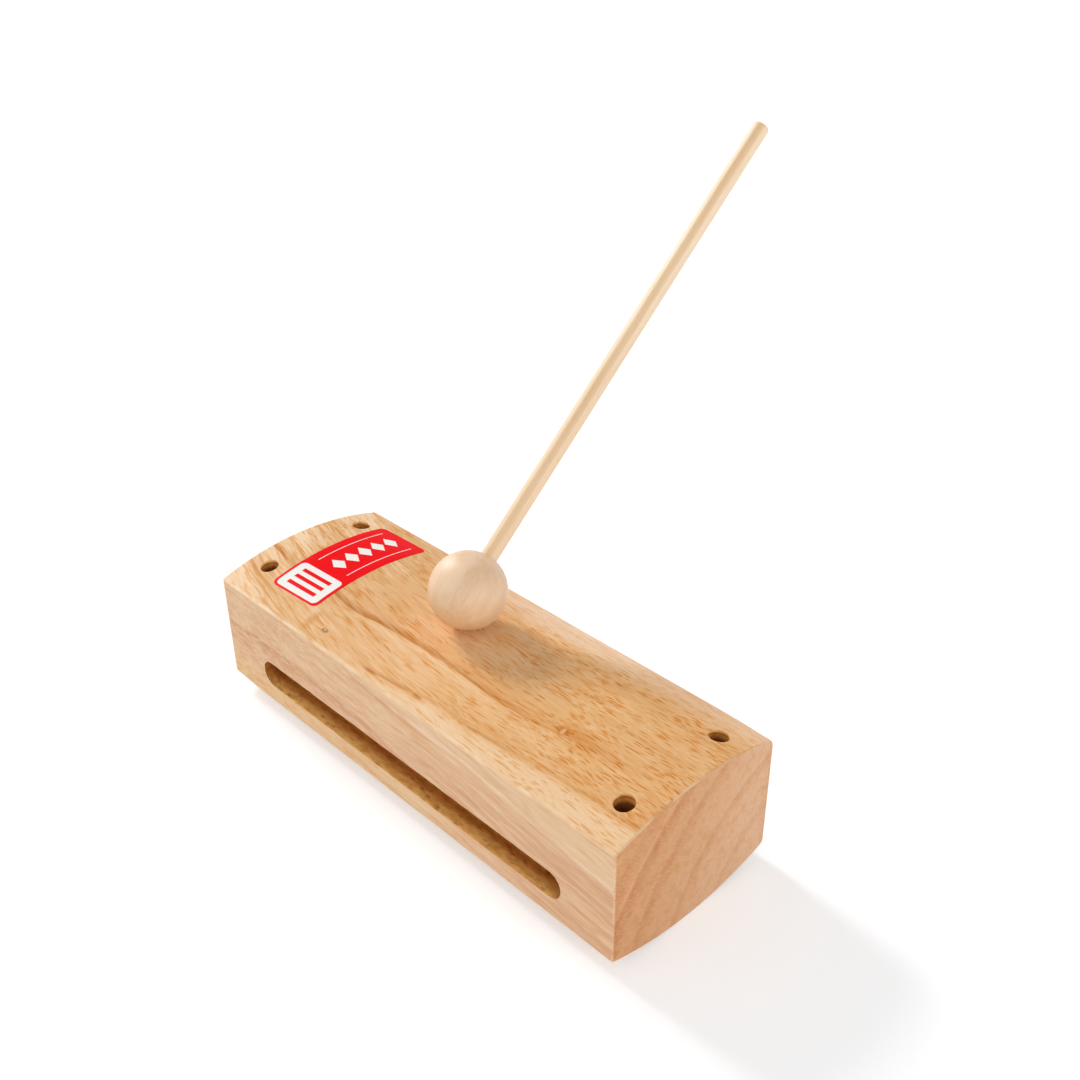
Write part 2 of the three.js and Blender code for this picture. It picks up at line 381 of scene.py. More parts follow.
def block_skin():
    """The whole billet: its arrises, holes, top and bottom, then its sides with their slots, and ends."""
    skin = Skin()
    left = END_EASING[-1] - LENGTH / 2
    right = LENGTH / 2 - END_EASING[1]
    stations = [left, *spread(left, right, STATION_GAP), right]
    loops = [billet_loop(skin, x, x) for x in stations]
    arrises = (
        slice(TOP_BACK, BACK_UPPER + 1), slice(BACK_LOWER, BOTTOM_BACK + 1),
        slice(BOTTOM_FRONT, FRONT_LOWER + 1), slice(FRONT_UPPER, None),
    )
    for near, far in zip(loops, loops[1:]):
        for part in arrises:
            skin.bridge(near[part], far[part])
        skin.bridge([near[-1], near[0]], [far[-1], far[0]])

    hole_x = LENGTH / 2 - CORD_HOLE_END_INSET
    hole_y = WIDTH / 2 - CORD_HOLE_SIDE_INSET
    hole_middles = [Vector((end * hole_x, side * hole_y)) for end in (-1, 1) for side in (-1, 1)]
    hole_loops = [cord_hole(skin, *middle) for middle in hole_middles]

    def rim(start, stop):
        near = [loop[start] for loop in loops]
        far = [loop[stop] for loop in loops]
        return near + loops[-1][start + 1:stop] + far[::-1] + loops[0][start + 1:stop][::-1]

    clear = CORD_HOLE_RADIUS + CORD_HOLE_RIM + HOLE_MARGIN
    half_crown = WIDTH / 2 - CROWN_MARGIN
    for level, start, stop in ((1, 0, TOP_BACK), (-1, BOTTOM_BACK, BOTTOM_FRONT)):
        inner = []
        for x in spread(left, right, SHEET_GAP):
            for y in spread(-half_crown, half_crown, SHEET_GAP * 0.8):
                if all((Vector((x, y)) - middle).length > clear for middle in hole_middles):
                    inner.append(surface_corner(skin, x, y, level * crown_height(y)))
        openings = [loop[0 if level > 0 else 1] for loop in hole_loops]
        skin.fill(rim(start, stop), openings, inner, (0, 1))

    half_side = SIDE_HEIGHT / 2 - FLAT_MARGIN
    for side, start, stop in ((1, BACK_UPPER, BACK_LOWER), (-1, FRONT_LOWER, FRONT_UPPER)):
        mouth = slot(skin, side)
        mouth_shape = [skin.places[corner].xz for corner in mouth]
        inner = []
        for x in spread(left, right, SHEET_GAP):
            for z in spread(-half_side, half_side, SHEET_GAP):
                beside = min((Vector((x, z)) - point).length for point in mouth_shape) > MOUTH_MARGIN
                if beside and not surrounds(mouth_shape, Vector((x, z))):
                    inner.append(surface_corner(skin, x, side * WIDTH / 2, z, side_face=1))
        skin.fill(rim(start, stop), [mouth], inner, (0, 2))

    for end, loop, start in ((-1, loops[0], left), (1, loops[-1], right)):
        easing = END_EASING[end]
        rounds = [loop]
        for step in range(1, END_STEPS + 1):
            turn = step * math.pi / 2 / END_STEPS
            inset = easing * (1 - math.cos(turn))
            x = start + end * easing * math.sin(turn)
            rounds.append(billet_loop(skin, start, x, inset, step / END_STEPS))
        skin.bridge_loops(rounds)
        inner = []
        for y in spread(-WIDTH / 2, WIDTH / 2, SHEET_GAP):
            top = crown_height(y) - FLAT_MARGIN
            for z in spread(-top, top, SHEET_GAP):
                inner.append(surface_corner(skin, end * LENGTH / 2, y, z, end_grain=1))
        skin.fill(rounds[-1], [], inner, (1, 2))
    return skin


class Tone:
    """A value, place or colour that varies over a surface. A sum on it adds the node for the sum."""

    def __init__(self, finish, socket):
        self.finish = finish
        self.socket = socket

    def twin(self, output):
        """Another output of the node that gives this one."""
        return Tone(self.finish, self.socket.node.outputs[output])

    def sum(self, operation, *values):
        return self.finish.node("Math", {"operation": operation}, dict(enumerate(values)))

    def __add__(self, other):
        return self.sum("ADD", self, other)

    def __radd__(self, other):
        return self.sum("ADD", other, self)

    def __sub__(self, other):
        return self.sum("SUBTRACT", self, other)

    def __rsub__(self, other):
        return self.sum("SUBTRACT", other, self)

    def __mul__(self, other):
        return self.sum("MULTIPLY", self, other)

    def __rmul__(self, other):
        return self.sum("MULTIPLY", other, self)

    def __truediv__(self, other):
        return self.sum("DIVIDE", self, other)

    def __pow__(self, other):
        return self.sum("POWER", self, other)

    def __abs__(self):
        return self.sum("ABSOLUTE", self)

    def fraction(self):
        return self.sum("FRACT", self)

    def at_most(self, other):
        return self.sum("MINIMUM", self, other)

    def at_least(self, other):
        return self.sum("MAXIMUM", self, other)

    def rise(self, start, end):
        """0 up to a start and 1 from an end on, with a smooth rise between them."""
        settings = {"interpolation_type": "SMOOTHSTEP"}
        return self.finish.node("MapRange", settings, {"Value": self, "From Min": start, "From Max": end})

    def fall(self, start, end):
        """1 up to a start and 0 from an end on."""
        return 1 - self.rise(start, end)

    def near(self, middle, half_width):
        """1 at a middle value, falling smoothly to 0 a half width to either side."""
        return abs(self - middle).fall(0, half_width)


class Finish:
    """The nodes that make up one finish, and the shader that they feed."""

    def __init__(self, owner, shader, constants):
        owner.use_nodes = True
        self.owner = owner
        self.tree = owner.node_tree
        self.shader = self.tree.nodes[shader]
        for socket, value in constants.items():
            self.shader.inputs[socket].default_value = value

    def node(self, kind, settings=None, inputs=None, output=0):
        """A new node: its settings first, then the values or links of its inputs."""
        made = self.tree.nodes.new("ShaderNode" + kind)
        for name, value in (settings or {}).items():
            if name == "stops":
                set_stops(made.color_ramp, value)
            else:
                setattr(made, name, value)
        for name, value in (inputs or {}).items():
            self.link(value, made.inputs[name])
        return Tone(self, made.outputs[output])

    def link(self, value, socket):
        """Link a tone to a socket, or set the socket to a plain value."""
        if isinstance(value, Tone):
            self.tree.links.new(value.socket, socket)
        else:
            socket.default_value = value

    def feed(self, socket, value):
        """Feed one of the shader's sockets."""
        self.link(value, self.shader.inputs[socket])

    def mark(self, name, output="Fac"):
        """A mark that the skin's corners carry: a number, or a place with the output Vector."""
        return self.node("Attribute", {"attribute_name": name}, output=output)

    def vector(self, operation, first, second=(0, 0, 0), output=0):
        return self.node("VectorMath", {"operation": operation}, {0: first, 1: second}, output)

    def clouds(self, place, sizes, detail=2, softness=0.5):
        """Noise about 0.5, in patches of the sizes given along x, y and z."""
        stretched = self.vector("DIVIDE", place, sizes)
        inputs = {"Vector": stretched, "Scale": 1, "Detail": detail, "Roughness": softness}
        return self.node("TexNoise", None, inputs)

    def seeds(self, place, sizes, scatter=1, flat=False):
        """Distance from the nearest of many seeds, one to a cell. Its twin Color is random by seed."""
        stretched = self.vector("DIVIDE", place, sizes)
        inputs = {"Vector": stretched, "Scale": 1, "Randomness": scatter}
        return self.node("TexVoronoi", {"voronoi_dimensions": "2D" if flat else "3D"}, inputs)

    def ramp(self, share, stops):
        """A colour or number that follows its stops as a share goes from 0 to 1."""
        return self.node("ValToRGB", {"stops": stops}, {0: share})

    def lay(self, share, base, layer):
        """A colour laid over another by a share."""
        return self.node("Mix", {"data_type": "RGBA"}, {0: share, 6: base, 7: layer}, 2)

    def stain(self, share, base, tint):
        """A colour stained by a see-through tint, by a share."""
        settings = {"data_type": "RGBA", "blend_type": "MULTIPLY"}
        return self.node("Mix", settings, {0: share, 6: base, 7: tint}, 2)

    def relief(self, height):
        """A surface raised and sunk by a height in millimetres."""
        return self.node("Bump", None, {"Strength": 1, "Distance": MM, "Height": height})


def set_stops(ramp, stops):
    """Set a ramp's colours at their positions, on a smooth curve through them."""
    ramp.interpolation = "CARDINAL"
    while len(ramp.elements) < len(stops):
        ramp.elements.new(1)
    for element, (position, colour) in zip(ramp.elements, stops):
        element.position = position
        element.color = colour if isinstance(colour, tuple) else (colour, colour, colour, 1)


def paint(red, green, blue):
    """A colour given by its screen values from 0 to 255, as the shader wants it."""
    linear = [((value / 255 + 0.055) / 1.055) ** 2.4 for value in (red, green, blue)]
    return (*linear, 1)


class Rubberwood(Finish):
    """The block's wood: growth rings round a pith beside the billet, pores and fibres along the grain."""

    def __init__(self):
        material = bpy.data.materials.new("rubberwood")
        super().__init__(material, "Principled BSDF", {"Specular IOR Level": 0.05})
        self.grain = self.mark("grain", "Vector")
        parts = self.node("SeparateXYZ", None, {0: self.grain})
        self.x, self.y, self.z = parts, parts.twin(1), parts.twin(2)
        self.along = (self.x + LENGTH / 2) / LENGTH
        self.side_face = self.mark("side_face")
        self.end_grain = self.mark("end_grain")
        self.inside = self.mark("inside")
        self.long_grain = 1 - self.end_grain
        self.top_face = (1 - self.side_face) * self.long_grain
        self.flow = self.grain_flow()
        self.ring = self.ring_field()

    def grain_flow(self):
        """The billet's places with its grain laid straight along x."""
        bend = (self.x - 45).at_most(0)
        dip = 0.05 * self.x + 0.06 * (self.x - 20).at_least(0)
        sway = 0.0009 * bend * bend
        run = self.node("CombineXYZ", None, {0: self.x, 1: self.y - sway, 2: self.z + dip})
        wave = self.vector("SUBTRACT", self.clouds(self.grain, (24, 10, 10)).twin("Color"), (0.5, 0.5, 0.5))
        return self.vector("ADD", run, self.vector("MULTIPLY", wave, (0, 3.2, 3.2)))

    def ring_field(self):
        """Radius from the pith, with the sway of the rings along the billet."""
        outward = self.vector("MULTIPLY", self.vector("SUBTRACT", self.grain, PITH), (0, 1, 1))
        radius = self.vector("LENGTH", outward, output="Value")
        sway_stops = [(0, 0.41), (0.1, 0.57), (0.21, 0.58), (0.28, 0.67), (0.34, 0.61), (0.5, 0.53),
                      (0.68, 0.6), (0.85, 0.4), (1, 0.17)]
        sway = 10 * (self.ramp(self.along, sway_stops) - 0.5) * radius.rise(92, 102) * self.z.rise(-30, 25)
        lean = (27 - self.z) * (20 - self.x).at_least(0) / 825
        dip = (0.0375 * (self.x + 20).at_least(0)).at_most(3.1) * self.side_face * self.long_grain
        swell = 2.2 * radius.rise(108, 113) * self.x.rise(-5, 25) * self.x.fall(60, 95) * self.top_face
        ripple = 0.9 * (self.clouds(self.grain, (34, 16, 16)) - 0.5)
        return radius - sway - lean + dip + swell + ripple

    def band(self, line_radius, width, softness=0.2):
        """Part of a growth ring: darkest at its sharp outer edge, and fading towards the pith."""
        depth = line_radius - self.ring
        return (1 - depth / width).at_least(0).at_most(1) * depth.rise(-softness, softness)

    def ground(self):
        """Honey on the top, pinker on the sides and end, with soft clouds along the grain."""
        cloud = self.clouds(self.flow, (60, 9, 9))
        top_stops = [(0, paint(252, 222, 187)), (0.2, paint(235, 190, 140)), (0.45, paint(240, 197, 150)),
                     (0.7, paint(235, 187, 133)), (1, paint(231, 181, 126))]
        top = self.ramp(self.along + 0.8 * (cloud - 0.5), top_stops)
        back_edge = self.y.rise(19, 33) * self.x.rise(-45, 10)
        top = self.lay(0.7 * back_edge, top, paint(252, 216, 184))
        top = self.lay(0.5 * back_edge * self.x.fall(15, 65), top, paint(252, 230, 208))
        side = self.lay(cloud.rise(0.35, 0.65), paint(242, 206, 171), paint(236, 196, 160))
        side = self.lay(self.z.fall(-16, -4) * self.x.fall(-40, 60), side, paint(240, 202, 156))
        side = self.stain(0.6 * self.z.near(1, 9), side, paint(247, 240, 238))
        end = self.lay((self.y - 0.4 * self.z).rise(-30, 35), paint(218, 164, 119), paint(229, 187, 152))
        colour = self.lay(self.end_grain, self.lay(self.side_face, top, side), end)
        shade = self.clouds(self.flow, (30, 3, 3), 3).rise(0.45, 0.7)
        return self.stain(0.5 * shade, colour, paint(243, 224, 196))

    def growth_lines(self, colour):
        """The dark streak under the label, a finer line in front of it and a faint one behind."""
        streak_stops = [(0, 0.6), (0.12, 0.5), (0.2, 0.95), (0.3, 1), (0.4, 0.85), (0.52, 0.7),
                        (0.64, 0.45), (0.74, 0.2), (0.85, 0.05), (1, 0)]
        glow_stops = [(0, 0.7), (0.25, 0.6), (0.45, 0.85), (0.7, 1), (0.82, 0.55), (1, 0.35)]
        patchy = self.clouds(self.grain, (13, 5, 5)).rise(0.4, 0.6)
        fine = (0.35 + 0.65 * patchy) * self.along.rise(0.36, 0.42) * (1 - 0.5 * self.along.rise(0.66, 0.8))
        glows = self.band(STREAK_RADIUS, 5.5) ** 1.3 * self.ramp(self.along, glow_stops)
        glows += 0.2 * self.band(FINE_LINE_RADIUS, 6) ** 1.3 * self.along.rise(0.3, 0.5)
        glows += 0.3 * self.band(STREAK_RADIUS - RING_GAP, 4.5)
        tint = self.lay(self.side_face, paint(241, 217, 180), paint(243, 226, 218))
        colour = self.stain(0.9 * glows.at_most(1) * self.long_grain, colour, tint)
        cores = self.band(STREAK_RADIUS, 1.8) * self.ramp(self.along, streak_stops)
        cores += 0.65 * fine * self.band(FINE_LINE_RADIUS, 1.1)
        cores += 0.15 * self.band(STREAK_RADIUS - RING_GAP, 1)
        tint = self.lay(self.side_face, paint(211, 177, 112), paint(232, 206, 188))
        cores = cores.at_most(1) * self.long_grain
        cores *= 1 - self.side_face * (0.5 + 0.25 * self.along.rise(0.28, 0.4) * self.z.fall(2, 6))
        colour = self.stain(cores, colour, tint)
        gleam = (self.ring - STREAK_RADIUS).near(0.9, 0.8) * self.along.near(0.45, 0.35)
        colour = self.lay(0.35 * gleam * self.top_face, colour, paint(245, 214, 172))
        before = (self.ring - FINE_LINE_RADIUS).rise(0, 1.5) * self.along.rise(0.4, 0.5)
        before *= self.long_grain * (1 - 0.6 * self.side_face)
        colour = self.lay(0.7 * before, colour, paint(244, 212, 174))
        behind = (self.ring - FINE_LINE_RADIUS).fall(-2, 0) * self.side_face * self.along.rise(0.5, 0.9)
        colour = self.stain(0.7 * behind, colour, paint(247, 239, 237))
        line = (self.ring - FINE_LINE_RADIUS).near(0.6, 0.8) * self.side_face * self.along.rise(0.42, 0.6)
        line *= self.long_grain
        return self.lay(0.7 * line, colour, paint(250, 224, 196))

    def end_bands(self, colour):
        """Growth rings cut across on the ends, crossed by fine rays that run out from the pith."""
        rings = ((113, 6, 0.4), (104, 8, 1), (90, 7, 0.75), (72, 4.5, 0.8), (53.6, 4.5, 0.6))
        bands = 0
        for radius, width, strength in rings:
            bands += strength * self.band(radius, width, 1.2)
        ragged = 0.65 + 0.7 * self.clouds(self.grain, (9, 3, 3), 3)
        colour = self.stain(0.68 * bands.at_most(1) * ragged * self.end_grain, colour, paint(234, 208, 184))
        pale = self.ring.near(PALE_RING_RADIUS, 0.7) * self.end_grain
        colour = self.lay(0.2 * pale, colour, paint(240, 204, 168))
        round_pith = 90 * (self.z - PITH[2]).sum("ARCTAN2", self.z - PITH[2], PITH[1] - self.y)
        ray_place = self.node("CombineXYZ", None, {0: round_pith, 1: self.ring, 2: self.x})
        rays = self.clouds(ray_place, (0.45, 4, 2)).rise(0.42, 0.7)
        colour = self.lay(0.2 * rays * self.end_grain, colour, paint(240, 200, 164))
        flecks = self.clouds(self.grain, (3, 1.1, 1.1), 3, 0.7).rise(0.4, 0.75)
        return self.stain(0.25 * flecks * self.end_grain, colour, paint(238, 218, 200))

    def fibres(self, colour):
        """Pale fibres, most on the sides, orange ones crowded at the left end, and fine ones all over."""
        pale = self.clouds(self.flow, (24, 1.1, 1.1), 2).rise(0.48, 0.64)
        pale *= self.long_grain * (0.4 + 0.6 * self.side_face)
        colour = self.lay(0.55 * pale, colour, paint(245, 216, 178))
        dark = self.clouds(self.flow, (18, 1.3, 1.3), 2).rise(0.5, 0.62) * self.along.fall(0.06, 0.42)
        colour = self.stain(0.75 * dark * self.top_face, colour, paint(241, 206, 152))
        rosy = self.clouds(self.flow, (30, 1.6, 1.6), 2).rise(0.5, 0.64) * self.side_face
        colour = self.stain(0.48 * rosy, colour, paint(244, 226, 218))
        fine = self.clouds(self.flow, (9, 0.5, 0.5), 2, 0.6).rise(0.42, 0.72)
        return self.stain(0.5 * fine, colour, paint(242, 226, 202))

    def pores(self):
        """Where pores are cut open: dashes on the top, crowded to the right, and faint ones elsewhere."""
        ragged = 0.3 * (self.clouds(self.flow, (2.4, 0.5, 0.5)) - 0.5)
        seeds = self.seeds(self.flow, (14, 0.8, 0.8), 0.95)
        chance = self.node("SeparateColor", None, {0: seeds.twin("Color")})
        crowd = self.clouds(self.flow, (19, 6, 6), 2).rise(0.4, 0.6)
        shown = (chance + 0.45 * crowd + 0.55 * self.along).rise(0.5, 0.9)
        dash = (seeds + ragged).fall(0.12, 0.42) * shown * (0.4 + 0.6 * chance.twin(1))
        short_dash = (self.seeds(self.flow, (9, 0.75, 0.75)) + ragged).fall(0.14, 0.42)
        short_dash *= (0.25 + 0.75 * crowd) * (0.3 + 0.7 * self.along.rise(0.5, 0.8))
        long_dash = (self.seeds(self.flow, (19, 1.1, 1.1)) + ragged).fall(0.1, 0.4)
        long_dash *= self.clouds(self.flow, (18, 5, 5)).rise(0.42, 0.58)
        pores = (1.2 * dash + 1.1 * short_dash + 0.8 * long_dash).at_most(1)
        pores *= 1 - 0.55 * self.y.rise(20, 33) - 0.3 * self.y.fall(-26, -19)
        return pores * (0.18 + 0.82 * self.top_face) * self.long_grain

    def spot(self, middle, half_size, start=0.3):
        """A mark on the top: 1 in its middle and 0 from its rim on."""
        offset = self.vector("SUBTRACT", self.grain, (*middle, 0))
        share = self.vector("LENGTH", self.vector("DIVIDE", offset, (*half_size, 1e6)), output="Value")
        rough = 0.5 * (self.clouds(self.grain, (2.2, 1.2, 1.2)) - 0.5)
        return (share + rough).fall(start, 1) * self.top_face * self.z.rise(0, 10)

    def knot(self, colour):
        """A pin knot near the right end, with a pale heart and orange wood round it."""
        colour = self.stain(0.65 * self.spot((64, -12), (15, 7), 0.1), colour, paint(242, 218, 178))
        colour = self.stain(0.85 * self.spot((55.6, -12.1), (3.8, 2.5)), colour, paint(236, 202, 140))
        return self.lay(0.6 * self.spot((56, -12.4), (0.95, 1.8), 0.4), colour, paint(240, 202, 150))

    def front_marks(self, colour):
        """Darker wood by the front edge: two streaks in the fine line, and a soft stain across it."""
        colour = self.stain(0.9 * self.spot((-14.7, -32.6), (5, 0.8)), colour, paint(222, 186, 130))
        colour = self.stain(0.9 * self.spot((7.6, -30.6), (3.2, 0.8)), colour, paint(228, 194, 134))
        return self.stain(0.8 * self.spot((-52, -29), (3.2, 7), 0.1), colour, paint(240, 214, 170))

    def knocks(self):
        """An old knock near the front edge, and a small pale spot in it."""
        return self.spot((-43.4, -29.9), (2.2, 1.1), 0.4), self.spot((-43.6, -29.7), (0.8, 0.5), 0.4)

    def bare_wood(self, colour):
        """Bare wood in the slots and holes: mottled and with scorch specks from the cutter. Painted shade
        darkens it deeper in, and on the slots' end grain, which is darker wood too.
        """
        scorch = self.seeds(self.grain, (5, 2.4, 1), flat=True).fall(0.06, 0.34)
        scorch *= self.clouds(self.grain, (9, 4, 4), 3).rise(0.42, 0.6)
        mottled = self.clouds(self.grain, (4.5, 1.6, 1.6), 4, 0.65).rise(0.38, 0.64)
        bare = self.lay(mottled, paint(255, 202, 120), paint(230, 167, 89))
        bare = self.lay(0.5 * scorch, bare, paint(142, 74, 34))
        # Darker on the slots' round ends: partly their end grain, partly painted shade on those end walls.
        bare = self.stain(0.85 * self.end_grain, bare, paint(164, 116, 66))
        colour = self.lay(self.inside.rise(0.05, 0.35), colour, bare)
        # Painted shade: darker deeper into the slots, and darker still down the cord holes.
        painted_depth_shade = 0.86 * self.inside.rise(0.5, 0.84) - 0.42 * self.inside.rise(0.84, 1)
        colour = self.stain(painted_depth_shade, colour, paint(184, 136, 70))
        return self.stain(0.8 * self.inside.rise(1.1, 2), colour, paint(120, 76, 40))

    def finished(self):
        """The whole finish, layer by layer. Returns its material."""
        knock, torn = self.knocks()
        pores = self.pores()
        colour = self.fibres(self.end_bands(self.growth_lines(self.ground())))
        colour = self.stain(pores, colour, paint(237, 191, 106))
        colour = self.front_marks(self.knot(colour))
        colour = self.lay(0.8 * knock, colour, paint(150, 106, 68))
        # A small pale spot inside the knock.
        colour = self.lay(0.8 * torn, colour, paint(214, 200, 194))
        colour = self.bare_wood(colour)
        # Lighter wood along the arrises, slot lips and hole rims: partly sanding wear, partly a painted
        # highlight where they catch the light, strongest near the left end and weaker at the back of the
        # right end.
        rubbed_and_highlight = self.mark("edge") * self.clouds(self.grain, (9, 9, 9), 3).rise(0.35, 0.65)
        rubbed_and_highlight *= 0.55 + 0.45 * self.x.fall(-70, -35) - 0.35 * self.x.rise(96, 98) * self.y.rise(-5, 10)
        colour = self.lay(rubbed_and_highlight, colour, paint(255, 232, 200))
        roughness = 0.46 + 0.16 * self.clouds(self.grain, (25, 9, 9), 3) + 0.1 * pores
        roughness += 0.25 * self.inside.at_most(1)
        fibre = self.clouds(self.flow, (9, 0.5, 0.5), 2, 0.6)
        height = 0.005 * fibre - 0.004 * pores - 0.2 * knock
        self.feed("Base Color", colour)
        self.feed("Roughness", roughness)
        self.feed("Normal", self.relief(height))
        return self.owner


block = block_skin().piece("block_wood", BLOCK_MIDDLE)
block.data.materials.append(Rubberwood().finished())
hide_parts("block")
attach(block, "block")


# LABEL: a strip of printed film with rounded corners, stuck across the crowned top near the left end.
# Its print is a red field with a chain of white lozenges, and a white panel with red bars at the front.
LABEL_WIDTH = 25.2
LABEL_LENGTH = 53.8
LABEL_MIDDLE = Vector((-69.9, 1.1))
LABEL_TURN = math.radians(2.7)
LABEL_CORNER = 2.5
LABEL_CORNER_STEPS = 8
LABEL_GAPS = (2.4, 2)
LABEL_UNDERSIDE = 0.04
LABEL_TOP = 0.16
LABEL_EDGE = 0.1
PANEL_MIDDLE = -19.1
PANEL_HALF = (11.3, 6.95)
PANEL_CORNER = 2
BAR_LENGTH = 15.6
BAR_WIDTH = 1.7
BAR_PITCH = 3.6
FIELD_MIDDLE = 7.3
RULE_PLACE = 8.2
RULE_WIDTH = 0.35
LOZENGE_PITCH = 6.2
LOZENGE_HALF = (4.2, 2.6)


def label_outline(inset):
    """Points round the label as it lies flat, drawn in by an inset."""
    radius = LABEL_CORNER - inset
    across = LABEL_WIDTH / 2 - LABEL_CORNER
    ahead = LABEL_LENGTH / 2 - LABEL_CORNER
    outline = []
    for index, (side, end) in enumerate(((1, -1), (1, 1), (-1, 1), (-1, -1))):
        for step in range(LABEL_CORNER_STEPS + 1):
            angle = (index - 1 + step / LABEL_CORNER_STEPS) * math.pi / 2
            x = side * across + radius * math.cos(angle)
            y = end * ahead + radius * math.sin(angle)
            outline.append(Vector((x, y)))
        if side != end:
            long_edge = side * (LABEL_WIDTH / 2 - inset)
            outline += [Vector((long_edge, side * y)) for y in spread(-ahead, ahead, LABEL_GAPS[0])]
    return outline


def label_corner(skin, point, lift):
    """A corner of the label at a point of the flat print, bent over the crown and lifted off it."""
    x, y = LABEL_MIDDLE + Matrix.Rotation(LABEL_TURN, 2) @ point
    return skin.corner((x, y, crown_height(y) + lift), (*point, 0))


def label_skin():
    """The film: its underside, its edge and its printed top."""
    skin = Skin()
    levels = ((0, LABEL_UNDERSIDE), (0, LABEL_TOP - LABEL_EDGE / 2), (LABEL_EDGE, LABEL_TOP))
    loops = [[label_corner(skin, point, lift) for point in label_outline(inset)] for inset, lift in levels]
    skin.bridge_loops(loops)
    well_inside = label_outline(1)
    for rim, (_, lift) in ((loops[0], levels[0]), (loops[2], levels[2])):
        inner = []
        for x in spread(-LABEL_WIDTH / 2, LABEL_WIDTH / 2, LABEL_GAPS[0]):
            for y in spread(-LABEL_LENGTH / 2, LABEL_LENGTH / 2, LABEL_GAPS[1]):
                point = Vector((x, y))
                if surrounds(well_inside, point):
                    inner.append(label_corner(skin, point, lift))
        skin.fill(rim, [], inner, (0, 1))
    return skin


class PrintedFilm(Finish):
    """The film's red and white print, drawn on the label's places as it lies flat."""

    def __init__(self):
        material = bpy.data.materials.new("printed_film")
        super().__init__(material, "Principled BSDF", {"Specular IOR Level": 0.03})
        self.grain = self.mark("grain", "Vector")
        parts = self.node("SeparateXYZ", None, {0: self.grain})
        self.x, self.y = parts, parts.twin(1)

    def inked(self, distance):
        """Full ink inside an edge and none outside it, with the edge as sharp as print."""
        return distance.fall(-0.08, 0.08)

    def to_nearest(self, distance, pitch):
        """Distance to the nearest one of an even row, with one at 0."""
        return abs((distance / pitch + 0.5).fraction() - 0.5) * pitch

    def field_print(self):
        """Five lozenges, point to point, between two thin rules."""
        ahead = self.y - FIELD_MIDDLE
        rules = self.inked(abs(abs(self.x) - RULE_PLACE) - RULE_WIDTH / 2)
        size = self.to_nearest(ahead, LOZENGE_PITCH) / LOZENGE_HALF[1] + abs(self.x) / LOZENGE_HALF[0]
        return (rules + size.fall(0.96, 1.04)).at_most(1) * self.inked(abs(ahead) - 2.5 * LOZENGE_PITCH)

    def panel(self):
        """The white panel with its rounded corners."""
        over_x = (abs(self.x) - (PANEL_HALF[0] - PANEL_CORNER)).at_least(0)
        over_y = (abs(self.y - PANEL_MIDDLE) - (PANEL_HALF[1] - PANEL_CORNER)).at_least(0)
        return self.inked((over_x * over_x + over_y * over_y) ** 0.5 - PANEL_CORNER)

    def bars(self):
        """Three bars across the panel."""
        ahead = self.y - PANEL_MIDDLE
        across = self.inked(self.to_nearest(ahead, BAR_PITCH) - BAR_WIDTH / 2)
        return across * self.inked(abs(ahead) - 1.5 * BAR_PITCH) * self.inked(abs(self.x) - BAR_LENGTH / 2)

    def finished(self):
        """The whole print under its gloss. Returns its material."""
        red = self.lay(self.clouds(self.grain, (8, 8, 1), 3), paint(245, 10, 18), paint(251, 18, 28))
        white = paint(250, 247, 242)
        colour = self.lay(self.field_print(), red, white)
        colour = self.lay(self.panel(), colour, white)
        self.feed("Base Color", self.lay(self.bars(), colour, red))
        self.feed("Roughness", 0.3 + 0.16 * self.clouds(self.grain, (5, 5, 1), 4))
        ripple = self.clouds(self.grain, (7, 7, 1), 3)
        tooth = self.clouds(self.grain, (0.5, 0.5, 1))
        self.feed("Normal", self.relief(0.02 * ripple + 0.003 * tooth))
        return self.owner


label = label_skin().piece("label_film", BLOCK_MIDDLE)
label.data.materials.append(PrintedFilm().finished())
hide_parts("label")
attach(label, "block")


# BEATER BALL: turned from pale close-grained hardwood, sanded smooth and given a satin lacquer.
# A socket in it takes the dowel, and its grain runs along the dowel. Sizes are round the ball's middle,
# with the dowel going up.
BALL_RADIUS = 13.6
SOCKET_RADIUS = 3.03
SOCKET_DEPTH = 9.9
SOCKET_RIM = 0.35
SOCKET_RIM_STEPS = 4
BALL_TURN_STEPS = 96
BALL_STEPS = 56
BALL_FOOT_START = 0.25
# The way the dowel's dark stripe faces: towards the camera, where the stripe also stands in for shade down
# the dowel's middle.
STRIPE_WAY = (0, -0.841, -0.535)
LACQUER_ROUGHNESS = 0.48
BEATER_RISE = math.radians(43.3)
BEATER_BEARING = math.radians(88.5)
ball_low, ball_high = (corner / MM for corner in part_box("beater_head"))
BALL_MIDDLE = (ball_low + ball_high) / 2
BEATER_AIM = Matrix.Rotation(BEATER_BEARING, 3, "Z") @ Matrix.Rotation(math.pi / 2 - BEATER_RISE, 3, "Y")


def turned_skin(profile, steps, marks_at):
    """A piece turned on a lathe from its profile of radius and height, leaning as the beater does."""
    skin = Skin()
    loops = []
    for radius, height in profile:
        loop = []
        for step in range(steps):
            angle = 2 * math.pi * step / steps
            local = Vector((radius * math.cos(angle), radius * math.sin(angle), height))
            loop.append(skin.corner(BEATER_AIM @ local, local.zxy, **marks_at(radius, height)))
        loops.append(loop)
    skin.bridge_loops(loops)
    return skin


